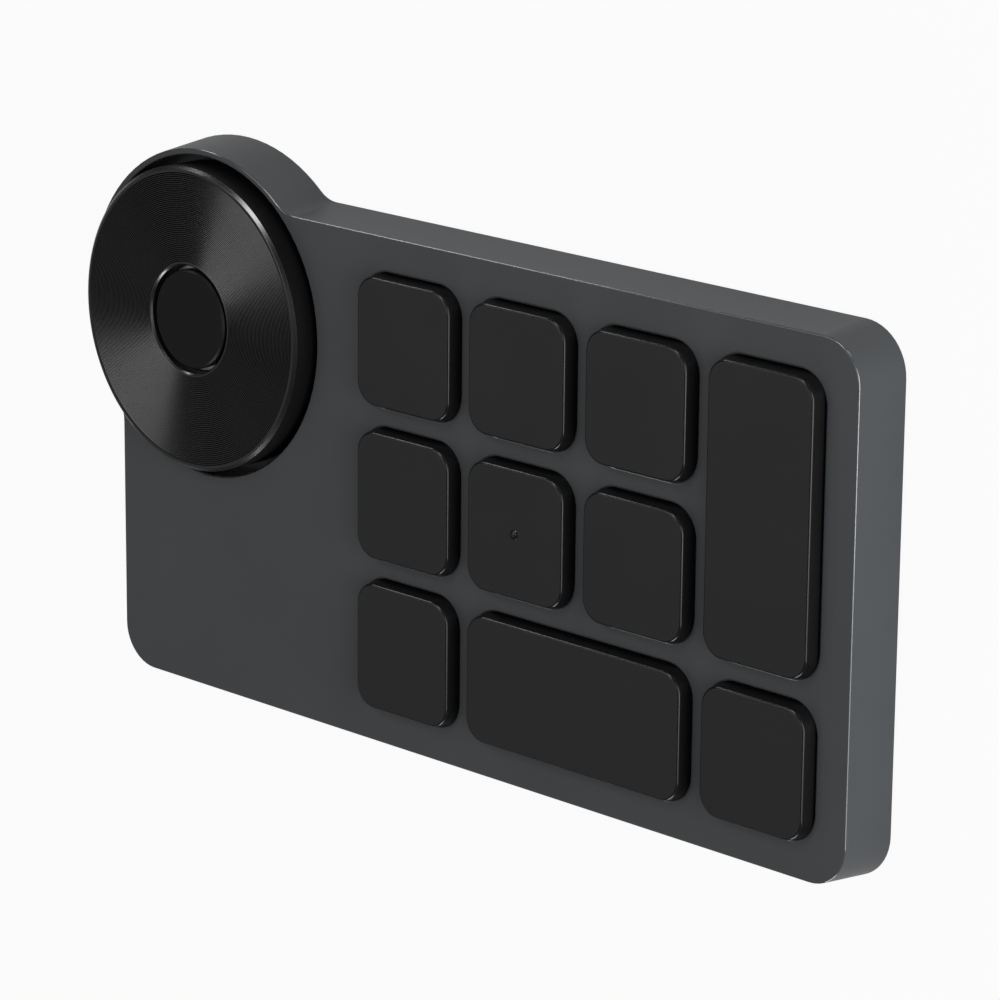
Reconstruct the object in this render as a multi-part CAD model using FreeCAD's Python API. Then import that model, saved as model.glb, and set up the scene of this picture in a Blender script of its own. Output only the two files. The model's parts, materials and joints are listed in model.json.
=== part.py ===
import FreeCAD, Part
import math
import os

# Control pad with ten keys, a turning dial and a button in the dial's middle.
# The part lies on its feet with the keys up. Units are millimetres.
# X runs along the long side, Y towards the dial's side, Z up, with z = 0 under the feet.

V = FreeCAD.Vector

# Heights that set the stack
FOOT_STAND = 0.8        # how far the feet reach below the body
BODY_HIGH = 7.3         # body, from its lower rim to the key face
TOP_WALL = 1.3          # thickness of the face plate
COVER_THICK = 1.2       # bottom cover
BOARD_STANDOFF = 0.4    # pads of the cover that carry the board
BOARD_THICK = 1.0

BODY_LOW_Z = FOOT_STAND
FACE_Z = BODY_LOW_Z + BODY_HIGH
CEILING_Z = FACE_Z - TOP_WALL
COVER_TOP_Z = BODY_LOW_Z + COVER_THICK
BOARD_LOW_Z = COVER_TOP_Z + BOARD_STANDOFF
BOARD_TOP_Z = BOARD_LOW_Z + BOARD_THICK

# Keys and dial that set the plan of the body
PITCH_X = 19.05
PITCH_Y = 19.5
LAST_COLUMN = 3
LAST_ROW = 2
KEY_GAP = 3.45          # bare face between two keys
KEY_MARGIN_RIGHT = 5.2  # outer keys' edge from the face's right edge
KEY_MARGIN_BACK = 4.85
KEY_MARGIN_FRONT = 5.0
KEYS_FROM_RECESS = 9.01
DIAL_R = 20.0
RECESS_GAP = 0.74       # dial to the wall of its recess
LOBE_WALL = 0.81        # face left outside the recess
LOBE_OUT = 5.95         # round lobe beyond the straight sides

KEY_LONG_X = PITCH_X - KEY_GAP
KEY_LONG_Y = PITCH_Y - KEY_GAP
RECESS_R = DIAL_R + RECESS_GAP
LOBE_R = RECESS_R + LOBE_WALL
DIAL_INSET = LOBE_R - LOBE_OUT
KEYS_INSET = DIAL_INSET + RECESS_R + KEYS_FROM_RECESS

# Plan of the body, at the key face
CORNER_R = 5.3
BLEND_R = 5.0           # hollow blend from the lobe to the straight sides
SIDE_FLARE = 0.75       # the sides lean out by this much from face to rim
SIDE_WALL = 1.4
EDGE_ROUND = 0.2        # rounding of the face's outer edge

FACE_LONG = KEYS_INSET + LAST_COLUMN * PITCH_X + KEY_LONG_X + KEY_MARGIN_RIGHT
FACE_WIDE = KEY_MARGIN_FRONT + LAST_ROW * PITCH_Y + KEY_LONG_Y + KEY_MARGIN_BACK
FACE_LEFT = (LOBE_OUT - FACE_LONG) / 2
FACE_RIGHT = FACE_LEFT + FACE_LONG
FACE_FRONT = -(LOBE_OUT + FACE_WIDE) / 2
FACE_BACK = FACE_FRONT + FACE_WIDE
DIAL_X = FACE_LEFT + DIAL_INSET
DIAL_Y = FACE_BACK - DIAL_INSET
KEYS_LEFT = FACE_LEFT + KEYS_INSET

# Keys
KEY_CORNER_R = 3.4
KEY_EDGE_ROUND = 0.3
KEY_PROUD = 1.55        # key top above the face
KEY_TRAVEL = 1.2
KEY_TOP_WALL = 1.3
KEY_SKIRT_WALL = 1.1
KEY_WELL_GAP = 0.4      # key to well, each side
WELL_RIM_ROUND = 0.4
KEY_FLANGE_OUT = 0.8    # flange that keeps a key in its well
KEY_FLANGE_THICK = 0.5
KEY_FLANGE_GAP = 0.2    # flange below the ceiling at rest
KEY_STEM_R = 3.5
KEY_STEM_BORE_R = 2.9
KEY_STEM_END_GAP = 0.3  # stem tube above the board when pressed
KEY_PUSHER_R = 1.4
NIB_R = 0.65            # raised locating nib on the middle key
NIB_HIGH = 0.25

KEY_STEM_REACH = KEY_TRAVEL + KEY_STEM_END_GAP
KEY_TOP_Z = FACE_Z + KEY_PROUD
KEY_FLANGE_TOP_Z = CEILING_Z - KEY_FLANGE_GAP
KEY_LOW_Z = KEY_FLANGE_TOP_Z - KEY_FLANGE_THICK
KEY_INSIDE_Z = KEY_TOP_Z - KEY_TOP_WALL
KEY_COL_FIRST_X = KEYS_LEFT + KEY_LONG_X / 2
KEY_ROW_FIRST_Y = FACE_BACK - KEY_MARGIN_BACK - KEY_LONG_Y / 2

# Column and row of each key's cells, counted from the left and from the back
KEY_CELLS = {
    "k1": [(0, 0)],
    "k2": [(1, 0)],
    "k3": [(2, 0)],
    "k4": [(3, 0), (3, 1)],
    "k5": [(0, 1)],
    "k6": [(1, 1)],
    "k7": [(2, 1)],
    "k8": [(0, 2)],
    "k9": [(1, 2), (2, 2)],
    "k10": [(3, 2)],
}
NIB_KEY = "k6"

# Rubber domes under the keys
DOME_R = 2.7
DOME_TOP_R = 1.5
DOME_HIGH = 2.5
DOME_FOOT_HIGH = 0.35
DOME_WALL = 0.5

# Plate that guides the key stems
PLATE_THICK = 0.6
PLATE_MARGIN = 2.6      # plate inside the board's outline
PLATE_BEFORE_KEYS = 0.45
COLLAR_R = 4.5
COLLAR_BORE_R = 3.6
COLLAR_HIGH = 2.6
PLATE_LEFT = KEYS_LEFT - PLATE_BEFORE_KEYS

# Dial
DIAL_PROUD = 2.6        # dial top above the face
DIAL_BEVEL_WIDE = 0.98
DIAL_BEVEL_DROP = 0.7
DIAL_TOP_WALL = 1.2
DIAL_SKIRT_WALL = 1.3
DIAL_SKIRT_LOW = 4.7    # skirt's lower edge above the lower rim of the body
DIAL_HOLE_BEVEL = 0.2
BUTTON_R = 6.41
BUTTON_AROUND_GAP = 0.57
RECESS_DEEP = 3.0
RECESS_FLOOR_THICK = 1.0
RECESS_WALL = 1.2
RECESS_RIM_ROUND = 0.2
FLOOR_HOLE_GAP = 0.52   # hub's sleeve to the hole of the recess floor

DIAL_FACE_R = DIAL_R - DIAL_BEVEL_WIDE
DIAL_HOLE_R = BUTTON_R + BUTTON_AROUND_GAP
TUB_R = RECESS_R + RECESS_WALL
DIAL_TOP_Z = FACE_Z + DIAL_PROUD
DIAL_PLATE_LOW_Z = DIAL_TOP_Z - DIAL_TOP_WALL
DIAL_SKIRT_LOW_Z = BODY_LOW_Z + DIAL_SKIRT_LOW
FLOOR_TOP_Z = FACE_Z - RECESS_DEEP
FLOOR_LOW_Z = FLOOR_TOP_Z - RECESS_FLOOR_THICK

# Hub that carries the dial cap and turns on the post
POST_R = 6.0
RUNNING_FIT = 0.08
HUB_DISC_THICK = 1.0
HUB_SLEEVE_WALL = 2.2
HUB_RIM_WALL = 1.2
HUB_RIM_HIGH = 2.4
HUB_GLUE_GAP = 0.1
CLIP_POCKET_GAP = 0.15
CLIP_POCKET_DEEP = 1.2
MAGNET_HIGH = 1.0
MAGNET_FLOAT = 0.2      # magnet ring above the post's flange
INDEX_INSET = 6.6       # notched index ring under the hub, inside the dial's edge
INDEX_WALL = 2.2
INDEX_HIGH = 2.2
INDEX_NOTCHES = 24
INDEX_NOTCH_R = 0.5

INDEX_R = DIAL_R - INDEX_INSET
HUB_SLEEVE_IN_R = POST_R + RUNNING_FIT
HUB_SLEEVE_R = HUB_SLEEVE_IN_R + HUB_SLEEVE_WALL
FLOOR_HOLE_R = HUB_SLEEVE_R + FLOOR_HOLE_GAP

# Post in the middle of the dial, fixed to floor and board
POST_FLANGE_MARGIN = 1.6  # flange beyond the middles of the post's screws
POST_TOP_GAP = 0.4      # post top under the button's head
POST_BORE_GAP = 0.15
POST_NECK_HIGH = 1.8
STEM_R = 3.3
STEM_FIT = 0.1
CLIP_OUT = 0.8          # clip beyond the post
CLIP_GROOVE_DEEP = 0.4
CLIP_THICK = 0.4
CLIP_BELOW_TOP = 0.2
CLIP_SLOT_WIDE = 3.0
SENSOR_WINDOW_LONG = 3.4
SENSOR_WINDOW_WIDE = 2.4
SENSOR_WIDE = 1.6
SENSOR_HIGH = 0.55
SENSOR_ANGLES = [-12, 12]
SENSOR_FROM_POST = 1.4

# Button in the dial's middle
BUTTON_BELOW_DIAL = 0.12
BUTTON_HEAD_THICK = 1.2
BUTTON_EDGE = 0.25
BUTTON_FLANGE_R = 4.3
BUTTON_FLANGE_THICK = 0.7
BUTTON_FLANGE_GAP = 0.2
BUTTON_TIP_R = 1.5
BUTTON_END_GAP = 0.2    # tip above the switch when pressed
BUTTON_TRAVEL = 0.3

BUTTON_TOP_Z = DIAL_TOP_Z - BUTTON_BELOW_DIAL
BUTTON_HEAD_LOW_Z = BUTTON_TOP_Z - BUTTON_HEAD_THICK
POST_TOP_Z = BUTTON_HEAD_LOW_Z - POST_TOP_GAP
POST_NECK_LOW_Z = POST_TOP_Z - POST_NECK_HIGH
CLIP_R = POST_R + CLIP_OUT
CLIP_IN_R = POST_R - CLIP_GROOVE_DEEP
CLIP_POCKET_R = CLIP_R + CLIP_POCKET_GAP
POST_BORE_R = BUTTON_FLANGE_R + POST_BORE_GAP
SENSOR_RING_R = POST_R + SENSOR_FROM_POST

# Tactile switch under the button
TACT_SIDE = 4.2
TACT_HIGH = 1.0
TACT_PLUNGER_R = 0.9
TACT_PLUNGER_SUNK = 0.3
TACT_HOLE_R = 1.0
TACT_HOLE_DEEP = 0.75
BUTTON_TIP_LOW = TACT_HIGH + BUTTON_TRAVEL + BUTTON_END_GAP

# Indexing spring beside the notched ring
SPRING_ANGLE = 90
SPRING_BASE_LONG = 7.0
SPRING_BASE_WIDE = 1.6
SPRING_BASE_HIGH = 3.2
SPRING_GAP = 0.12       # nose to the ring's crests
SPRING_NOSE_R = 0.45
SPRING_LEAF_THICK = 0.4
SPRING_NOSE_SUNK = 0.1  # leaf's inner face behind the nose's middle
SPRING_FLEX_GAP = 0.35  # room behind the leaf
SPRING_LEAF_LOW = 1.2   # leaf's lower edge above the recess floor
SPRING_END_LONG = 1.2

# Screws
BOSS_EDGE_RIGHT = 3.2   # boss centres from the face's edges
BOSS_FROM_KEYS = 3.25
BOSS_EDGE_FRONT = 5.0
BOSS_EDGE_BACK = 4.0
BOSS_EDGE_LEFT = 4.1
BOSS_R = 2.0
BOSS_PILOT_R = 0.75
BOSS_PILOT_TOP_GAP = 1.4
SCREW_R = 0.7
SCREW_HEAD_R = 1.5
SCREW_HEAD_THICK = 0.6
SCREW_HEAD_SUNK = 0.15
SCREW_TIP_GAP = 0.3
COUNTERBORE_R = 1.7
SCREW_HOLE_R = 0.95
HOLE_AROUND_BOSS = 0.5
POST_SCREW_FROM_HOLE = 1.6
POST_SCREW_HEAD_R = 1.35
POST_SCREW_ANGLES = [30, 150, 270]
POST_SCREW_HOLE_R = 0.75
POST_SCREW_RING_R = FLOOR_HOLE_R + POST_SCREW_FROM_HOLE
POST_FLANGE_R = POST_SCREW_RING_R + POST_FLANGE_MARGIN

# Feet
FOOT_EDGE_X = 9.6       # foot centres from the face's edges
FOOT_EDGE_Y = 9.0
FOOT_R = 4.5
FOOT_SEAT_DEEP = 0.4
FOOT_SEAT_GAP = 0.1
FOOT_EDGE = 0.3

# Cover
COVER_GAP = 0.15
PAD_R = 1.6

# Socket for charging and data, on the left side
SOCKET_FROM_LOBE = 5.15
SOCKET_WIDE = 8.94
SOCKET_HIGH = 3.26
SOCKET_WALL = 0.3
SOCKET_DEEP = 7.3
SOCKET_MOUTH_GAP = 0.22
SOCKET_BACK = 2.0
TONGUE_WIDE = 6.7
TONGUE_THICK = 0.7
TONGUE_SHORT = 1.0      # tongue ends inside the mouth
SOCKET_Y = DIAL_Y - LOBE_R - SOCKET_FROM_LOBE
SOCKET_Z = BOARD_TOP_Z + SOCKET_HIGH / 2

# Power slide switch, on the front side
SWITCH_LONG = 7.0
SWITCH_DEEP = 2.4
SWITCH_HIGH = 1.7
SLIDE_TRAVEL = 2.0
SLIDE_KNOB_LONG = 3.0
SLIDE_KNOB_HIGH = 1.6
SLIDE_PROUD = 0.9
SLIDE_GAP = 0.25
SLIDE_END_GAP = 0.7     # slot's rounded end beyond the knob
SLIDE_TONGUE_LONG = 1.4
SLIDE_TONGUE_HIGH = 0.7
SLIDE_TONGUE_IN = 1.0
SLIDE_KNOB_EDGE = 0.3
SWITCH_X = KEYS_LEFT + KEY_LONG_X / 2
SWITCH_Z = BOARD_TOP_Z + SWITCH_HIGH / 2

# Board, with an opening around the cell
BOARD_WALL_GAP = 0.8
BAY_EDGE_LEFT = 9.8
BAY_FROM_KEYS = 6.75
BAY_FROM_TUB = 0.76
BAY_LEFT = FACE_LEFT + BAY_EDGE_LEFT
BAY_RIGHT = KEYS_LEFT - BAY_FROM_KEYS
BAY_BACK = DIAL_Y - TUB_R - BAY_FROM_TUB

# Battery cell
CELL_GAP = 0.7
CELL_HIGH = 4.0
CELL_CORNER_R = 1.2
CELL_EDGE_FRONT = 2.2
CELL_FRONT = FACE_FRONT + CELL_EDGE_FRONT

# Electronic parts on the board, in the strip beside the dial
CHIPS_FROM_KEYS = 4.35
CHIP_X = KEYS_LEFT - CHIPS_FROM_KEYS
# Name, distance from the face's back edge, size in X, size in Y and height
CHIP_PARTS = [
    ("radio", 31.9, 5.4, 9.0, 1.4),
    ("processor", 21.9, 5.0, 5.0, 0.9),
    ("crystal", 16.3, 3.2, 2.5, 0.8),
    ("charger", 10.9, 3.0, 3.0, 0.8),
]

OVERRUN = 1.0           # how far cutting tools reach past a face
TINY = 0.001            # tolerance for picking edges by height


def box(x_low, x_high, y_low, y_high, z_low, z_high):
    return Part.makeBox(x_high - x_low, y_high - y_low, z_high - z_low, V(x_low, y_low, z_low))


def rod(x, y, radius, z_low, z_high):
    return Part.makeCylinder(radius, z_high - z_low, V(x, y, z_low), V(0, 0, 1))


def ring(x, y, r_out, r_in, z_low, z_high):
    tool = rod(x, y, r_in, z_low - OVERRUN, z_high + OVERRUN)
    return rod(x, y, r_out, z_low, z_high).cut(tool)


def rounded_wire(x, y, long_x, long_y, radius, z):
    """Closed wire of a rounded rectangle about (x, y)."""
    ax = long_x / 2
    ay = long_y / 2
    edges = []
    for sx, sy, along in [(1, -1, "x"), (1, 1, "y"), (-1, 1, "x"), (-1, -1, "y")]:
        centre = V(x + sx * (ax - radius), y + sy * (ay - radius), z)
        on_x = centre + V(sx * radius, 0, 0)
        on_y = centre + V(0, sy * radius, 0)
        corner = centre + V(sx * radius, sy * radius, 0) * math.sqrt(0.5)
        first, last = (on_y, on_x) if along == "x" else (on_x, on_y)
        edges.append(Part.Arc(first, corner, last).toShape())
    wire_edges = []
    for number, arc in enumerate(edges):
        following = edges[(number + 1) % len(edges)]
        wire_edges.append(arc)
        wire_edges.append(Part.makeLine(arc.Vertexes[-1].Point, following.Vertexes[0].Point))
    return Part.Wire(wire_edges)


def rounded_prism(x, y, long_x, long_y, radius, z_low, z_high):
    wire = rounded_wire(x, y, long_x, long_y, radius, z_low)
    return Part.Face(wire).extrude(V(0, 0, z_high - z_low))


def edges_at(shape, z):
    """Edges of a shape that lie wholly at height z."""
    found = []
    for edge in shape.Edges:
        bounds = edge.BoundBox
        if abs(bounds.ZMin - z) < TINY and abs(bounds.ZMax - z) < TINY:
            found.append(edge)
    return found


def around_dial(radius, angle):
    turn = math.radians(angle)
    return DIAL_X + radius * math.cos(turn), DIAL_Y + radius * math.sin(turn)


def arc_about(centre, radius, start, end, z):
    """Arc about a centre between two angles in radians."""
    points = []
    for angle in (start, (start + end) / 2, end):
        points.append(V(centre[0] + radius * math.cos(angle), centre[1] + radius * math.sin(angle), z))
    return Part.Arc(points[0], points[1], points[2]).toShape()


def blend_centres():
    """Centres of the hollow blends at the lobe's back and left ends."""
    reach = LOBE_R + BLEND_R
    aside = math.sqrt(reach ** 2 - (DIAL_INSET + BLEND_R) ** 2)
    return (DIAL_X + aside, FACE_BACK + BLEND_R), (FACE_LEFT - BLEND_R, DIAL_Y - aside)


def body_wire(grow, z):
    """Outline of the body at height z, grown outwards by grow."""
    left = FACE_LEFT - grow
    right = FACE_RIGHT + grow
    front = FACE_FRONT - grow
    back = FACE_BACK + grow
    corner = CORNER_R + grow
    back_blend, left_blend = blend_centres()
    to_back = math.atan2(back_blend[1] - DIAL_Y, back_blend[0] - DIAL_X)
    to_left = math.atan2(left_blend[1] - DIAL_Y, left_blend[0] - DIAL_X) + 2 * math.pi
    quarter = math.pi / 2
    arcs = [
        arc_about((right - corner, front + corner), corner, -quarter, 0, z),
        arc_about((right - corner, back - corner), corner, 0, quarter, z),
        arc_about(back_blend, BLEND_R - grow, -quarter, to_back - math.pi, z),
        arc_about((DIAL_X, DIAL_Y), LOBE_R + grow, to_back, to_left, z),
        arc_about(left_blend, BLEND_R - grow, to_left - math.pi, 0, z),
        arc_about((left + corner, front + corner), corner, math.pi, 3 * quarter, z),
    ]
    edges = []
    for number, arc in enumerate(arcs):
        following = arcs[(number + 1) % len(arcs)]
        edges.append(arc)
        end = arc.Vertexes[-1].Point
        start = following.Vertexes[0].Point
        if end.distanceToPoint(start) > TINY:
            edges.append(Part.makeLine(end, start))
    return Part.Wire(edges)


def flare_at(z):
    return SIDE_FLARE * (FACE_Z - z) / BODY_HIGH


def body_block(inset, z_low, z_high):
    """Solid between two heights inside the leaning sides, drawn in by inset."""
    wires = [body_wire(flare_at(z) - inset, z) for z in (z_low, z_high)]
    return Part.makeLoft(wires, True, True)


def body_prism(inset, z_low, z_high):
    """Upright solid with the body's outline at z_low, drawn in by inset."""
    wire = body_wire(flare_at(z_low) - inset, z_low)
    return Part.Face(wire).extrude(V(0, 0, z_high - z_low))


def cell_centre(column, row):
    return KEY_COL_FIRST_X + column * PITCH_X, KEY_ROW_FIRST_Y - row * PITCH_Y


def key_span(name):
    """Centre and size in X and Y of a key's top."""
    centres = [cell_centre(column, row) for column, row in KEY_CELLS[name]]
    xs = [centre[0] for centre in centres]
    ys = [centre[1] for centre in centres]
    long_x = max(xs) - min(xs) + KEY_LONG_X
    long_y = max(ys) - min(ys) + KEY_LONG_Y
    return (max(xs) + min(xs)) / 2, (max(ys) + min(ys)) / 2, long_x, long_y


def boss_points():
    """Centres of the screw bosses."""
    between_x = [cell_centre(column, 0)[0] + PITCH_X / 2 for column in range(LAST_COLUMN)]
    between_y = [cell_centre(0, row)[1] - PITCH_Y / 2 for row in range(LAST_ROW)]
    return [
        (between_x[0], between_y[0]),
        (between_x[1], between_y[0]),
        (between_x[0], between_y[1]),
        (between_x[2], between_y[1]),
        (FACE_RIGHT - BOSS_EDGE_RIGHT, between_y[1]),
        (KEYS_LEFT - BOSS_FROM_KEYS, FACE_FRONT + BOSS_EDGE_FRONT),
        (KEYS_LEFT - BOSS_FROM_KEYS, FACE_BACK - BOSS_EDGE_BACK),
        (FACE_LEFT + BOSS_EDGE_LEFT, FACE_FRONT + BOSS_EDGE_LEFT),
    ]


def foot_points():
    return [
        (FACE_LEFT + FOOT_EDGE_X + FOOT_R, FACE_FRONT + FOOT_EDGE_Y),
        (FACE_RIGHT - FOOT_EDGE_X, FACE_FRONT + FOOT_EDGE_Y),
        (FACE_RIGHT - FOOT_EDGE_X, FACE_BACK - FOOT_EDGE_Y),
        (DIAL_X, DIAL_Y + FOOT_EDGE_Y),
    ]


def make_top_housing():
    """Upper shell with key wells, the dial's recess and the screw bosses."""
    shell = body_block(0, BODY_LOW_Z, FACE_Z)
    shell = shell.makeFillet(EDGE_ROUND, edges_at(shell, FACE_Z))
    hollow = body_block(SIDE_WALL, BODY_LOW_Z, CEILING_Z)
    tub = rod(DIAL_X, DIAL_Y, TUB_R, FLOOR_LOW_Z, CEILING_Z)
    shell = shell.cut(hollow.cut(tub))
    for x, y in boss_points():
        boss = rod(x, y, BOSS_R, COVER_TOP_Z, CEILING_Z)
        shell = shell.fuse(boss)
    tools = [rod(DIAL_X, DIAL_Y, RECESS_R, FLOOR_TOP_Z, FACE_Z + OVERRUN)]
    tools.append(rod(DIAL_X, DIAL_Y, FLOOR_HOLE_R, FLOOR_LOW_Z - OVERRUN, FLOOR_TOP_Z + OVERRUN))
    for x, y in boss_points():
        tools.append(rod(x, y, BOSS_PILOT_R, COVER_TOP_Z - OVERRUN, CEILING_Z - BOSS_PILOT_TOP_GAP))
    for angle in POST_SCREW_ANGLES:
        x, y = around_dial(POST_SCREW_RING_R, angle)
        tools.append(rod(x, y, POST_SCREW_HOLE_R, FLOOR_LOW_Z - OVERRUN, FLOOR_TOP_Z + OVERRUN))
    for name in KEY_CELLS:
        x, y, long_x, long_y = key_span(name)
        wide = long_x + 2 * KEY_WELL_GAP
        deep = long_y + 2 * KEY_WELL_GAP
        corner = KEY_CORNER_R + KEY_WELL_GAP
        tools.append(rounded_prism(x, y, wide, deep, corner, CEILING_Z - OVERRUN, FACE_Z + OVERRUN))
    tools.append(socket_opening())
    tools.append(slide_opening())
    for tool in tools:
        shell = shell.cut(tool)
    rims = [edge for edge in edges_at(shell, FACE_Z) if is_well_rim(edge)]
    shell = shell.makeFillet(WELL_RIM_ROUND, rims)
    lip = [edge for edge in edges_at(shell, FACE_Z) if is_recess_rim(edge)]
    shell = shell.makeFillet(RECESS_RIM_ROUND, lip)
    return shell


def is_well_rim(edge):
    """True for an edge on the rim of a key's well."""
    middle = edge.BoundBox.Center
    for name in KEY_CELLS:
        x, y, long_x, long_y = key_span(name)
        near_x = abs(middle.x - x) < long_x / 2 + 2 * KEY_WELL_GAP
        near_y = abs(middle.y - y) < long_y / 2 + 2 * KEY_WELL_GAP
        if near_x and near_y:
            return True
    return False


def is_recess_rim(edge):
    curve = edge.Curve
    return hasattr(curve, "Radius") and abs(curve.Radius - RECESS_R) < TINY


def oval_bar(y, z, wide, high, x_low, x_high):
    """Flat-oval bar along X."""
    radius = high / 2
    half = (wide - high) / 2
    middle = box(x_low, x_high, y - half, y + half, z - radius, z + radius)
    ends = []
    for side in (-1, 1):
        start = V(x_low, y + side * half, z)
        ends.append(Part.makeCylinder(radius, x_high - x_low, start, V(1, 0, 0)))
    return middle.fuse(ends).removeSplitter()


def socket_opening():
    wide = SOCKET_WIDE + 2 * SOCKET_MOUTH_GAP
    high = SOCKET_HIGH + 2 * SOCKET_MOUTH_GAP
    out = FACE_LEFT - SIDE_FLARE - OVERRUN
    return oval_bar(SOCKET_Y, SOCKET_Z, wide, high, out, FACE_LEFT + SIDE_WALL + OVERRUN)


def on_front(shape):
    """Brings a shape drawn inwards along X from x = 0 to the switch's place on the front side."""
    shape.rotate(V(0, 0, 0), V(0, 0, 1), 90)
    shape.translate(V(SWITCH_X, FACE_FRONT, 0))
    return shape


def slide_opening():
    wide = SLIDE_KNOB_LONG + SLIDE_TRAVEL + 2 * SLIDE_END_GAP
    high = SLIDE_KNOB_HIGH + 2 * SLIDE_GAP
    return on_front(oval_bar(0, SWITCH_Z, wide, high, -SIDE_FLARE - OVERRUN, SIDE_WALL + OVERRUN))


def make_bottom_cover():
    """Cover that closes the body, with seats for the feet and pads for the board."""
    cover = body_block(SIDE_WALL + COVER_GAP, BODY_LOW_Z, COVER_TOP_Z)
    for x, y in boss_points():
        pad = rod(x, y, BOSS_R + PAD_R, COVER_TOP_Z, BOARD_LOW_Z)
        pad = pad.cut(rod(x, y, BOSS_R + HOLE_AROUND_BOSS, COVER_TOP_Z - OVERRUN, BOARD_LOW_Z + OVERRUN))
        inside = body_prism(SIDE_WALL + BOARD_WALL_GAP, COVER_TOP_Z, BOARD_LOW_Z)
        cover = cover.fuse(pad.common(inside))
    for x, y in boss_points():
        cover = cover.cut(rod(x, y, COUNTERBORE_R, BODY_LOW_Z - OVERRUN, screw_seat_z()))
        cover = cover.cut(rod(x, y, SCREW_HOLE_R, BODY_LOW_Z, COVER_TOP_Z + OVERRUN))
    for x, y in foot_points():
        seat_z = BODY_LOW_Z + FOOT_SEAT_DEEP
        cover = cover.cut(rod(x, y, FOOT_R + FOOT_SEAT_GAP, BODY_LOW_Z - OVERRUN, seat_z))
    return cover


def screw_seat_z():
    return BODY_LOW_Z + SCREW_HEAD_SUNK + SCREW_HEAD_THICK


def make_cover_screws():
    screws = []
    for x, y in boss_points():
        seat = screw_seat_z()
        head_low = seat - SCREW_HEAD_THICK
        tip = CEILING_Z - BOSS_PILOT_TOP_GAP - SCREW_TIP_GAP
        screw = rod(x, y, SCREW_HEAD_R, head_low, seat).fuse(rod(x, y, SCREW_R, seat, tip))
        screws.append(screw)
    return Part.makeCompound(screws)


def make_rubber_feet():
    feet = []
    for x, y in foot_points():
        foot = rod(x, y, FOOT_R, 0, BODY_LOW_Z + FOOT_SEAT_DEEP)
        foot = foot.makeChamfer(FOOT_EDGE, edges_at(foot, 0))
        feet.append(foot)
    return Part.makeCompound(feet)


def board_outline(extra, z_low, z_high):
    """Solid with the board's outline, drawn in by extra."""
    blank = body_prism(SIDE_WALL + BOARD_WALL_GAP + extra, z_low, z_high)
    bay = box(
        BAY_LEFT,
        BAY_RIGHT,
        FACE_FRONT - OVERRUN,
        BAY_BACK,
        z_low - OVERRUN,
        z_high + OVERRUN,
    )
    return blank.cut(bay)


def make_main_board():
    """Circuit board with clearance holes for the bosses and the dial screws."""
    board = board_outline(0, BOARD_LOW_Z, BOARD_TOP_Z)
    low = BOARD_LOW_Z - OVERRUN
    high = BOARD_TOP_Z + OVERRUN
    for x, y in boss_points():
        board = board.cut(rod(x, y, BOSS_R + HOLE_AROUND_BOSS, low, high))
    for angle in POST_SCREW_ANGLES:
        x, y = around_dial(POST_SCREW_RING_R, angle)
        board = board.cut(rod(x, y, POST_SCREW_HOLE_R, low, high))
    return board


def make_guide_plate():
    """Plate on the board with a collar around each key stem."""
    plate_top = BOARD_TOP_Z + PLATE_THICK
    plate = board_outline(PLATE_MARGIN, BOARD_TOP_Z, plate_top)
    field = box(PLATE_LEFT, FACE_RIGHT, FACE_FRONT, FACE_BACK, BOARD_TOP_Z, plate_top)
    plate = plate.common(field)
    centres = []
    for name in KEY_CELLS:
        for column, row in KEY_CELLS[name]:
            centres.append(cell_centre(column, row))
    collar_top = BOARD_TOP_Z + COLLAR_HIGH
    for x, y in centres:
        plate = plate.fuse(rod(x, y, COLLAR_R, BOARD_TOP_Z, collar_top))
    for x, y in centres:
        plate = plate.cut(rod(x, y, COLLAR_BORE_R, BOARD_TOP_Z - OVERRUN, collar_top + OVERRUN))
    for x, y in boss_points():
        plate = plate.cut(rod(x, y, BOSS_R + HOLE_AROUND_BOSS, BOARD_TOP_Z - OVERRUN, plate_top + OVERRUN))
    return plate


def make_keycap(name):
    """Key with a thin top, a skirt, a holding flange and a stem tube at each cell."""
    x, y, long_x, long_y = key_span(name)
    body = rounded_prism(x, y, long_x, long_y, KEY_CORNER_R, KEY_LOW_Z, KEY_TOP_Z)
    body = body.makeFillet(KEY_EDGE_ROUND, edges_at(body, KEY_TOP_Z))
    out_x = long_x + 2 * KEY_FLANGE_OUT
    out_y = long_y + 2 * KEY_FLANGE_OUT
    corner = KEY_CORNER_R + KEY_FLANGE_OUT
    body = body.fuse(rounded_prism(x, y, out_x, out_y, corner, KEY_LOW_Z, KEY_FLANGE_TOP_Z))
    in_x = long_x - 2 * KEY_SKIRT_WALL
    in_y = long_y - 2 * KEY_SKIRT_WALL
    corner = KEY_CORNER_R - KEY_SKIRT_WALL
    body = body.cut(rounded_prism(x, y, in_x, in_y, corner, KEY_LOW_Z - OVERRUN, KEY_INSIDE_Z))
    dome_top = BOARD_TOP_Z + DOME_HIGH
    stem_low = BOARD_TOP_Z + KEY_STEM_REACH
    for column, row in KEY_CELLS[name]:
        cx, cy = cell_centre(column, row)
        body = body.fuse(ring(cx, cy, KEY_STEM_R, KEY_STEM_BORE_R, stem_low, KEY_INSIDE_Z))
        body = body.fuse(rod(cx, cy, KEY_PUSHER_R, dome_top, KEY_INSIDE_Z))
    if name == NIB_KEY:
        body = body.fuse(make_nib(x, y))
    return body


def make_nib(x, y):
    """Low spherical nib on a key's top."""
    ball_r = (NIB_R ** 2 + NIB_HIGH ** 2) / (2 * NIB_HIGH)
    ball = Part.makeSphere(ball_r, V(x, y, KEY_TOP_Z + NIB_HIGH - ball_r))
    keep = rod(x, y, NIB_R, KEY_TOP_Z - NIB_HIGH, KEY_TOP_Z + OVERRUN)
    return ball.common(keep)


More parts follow.
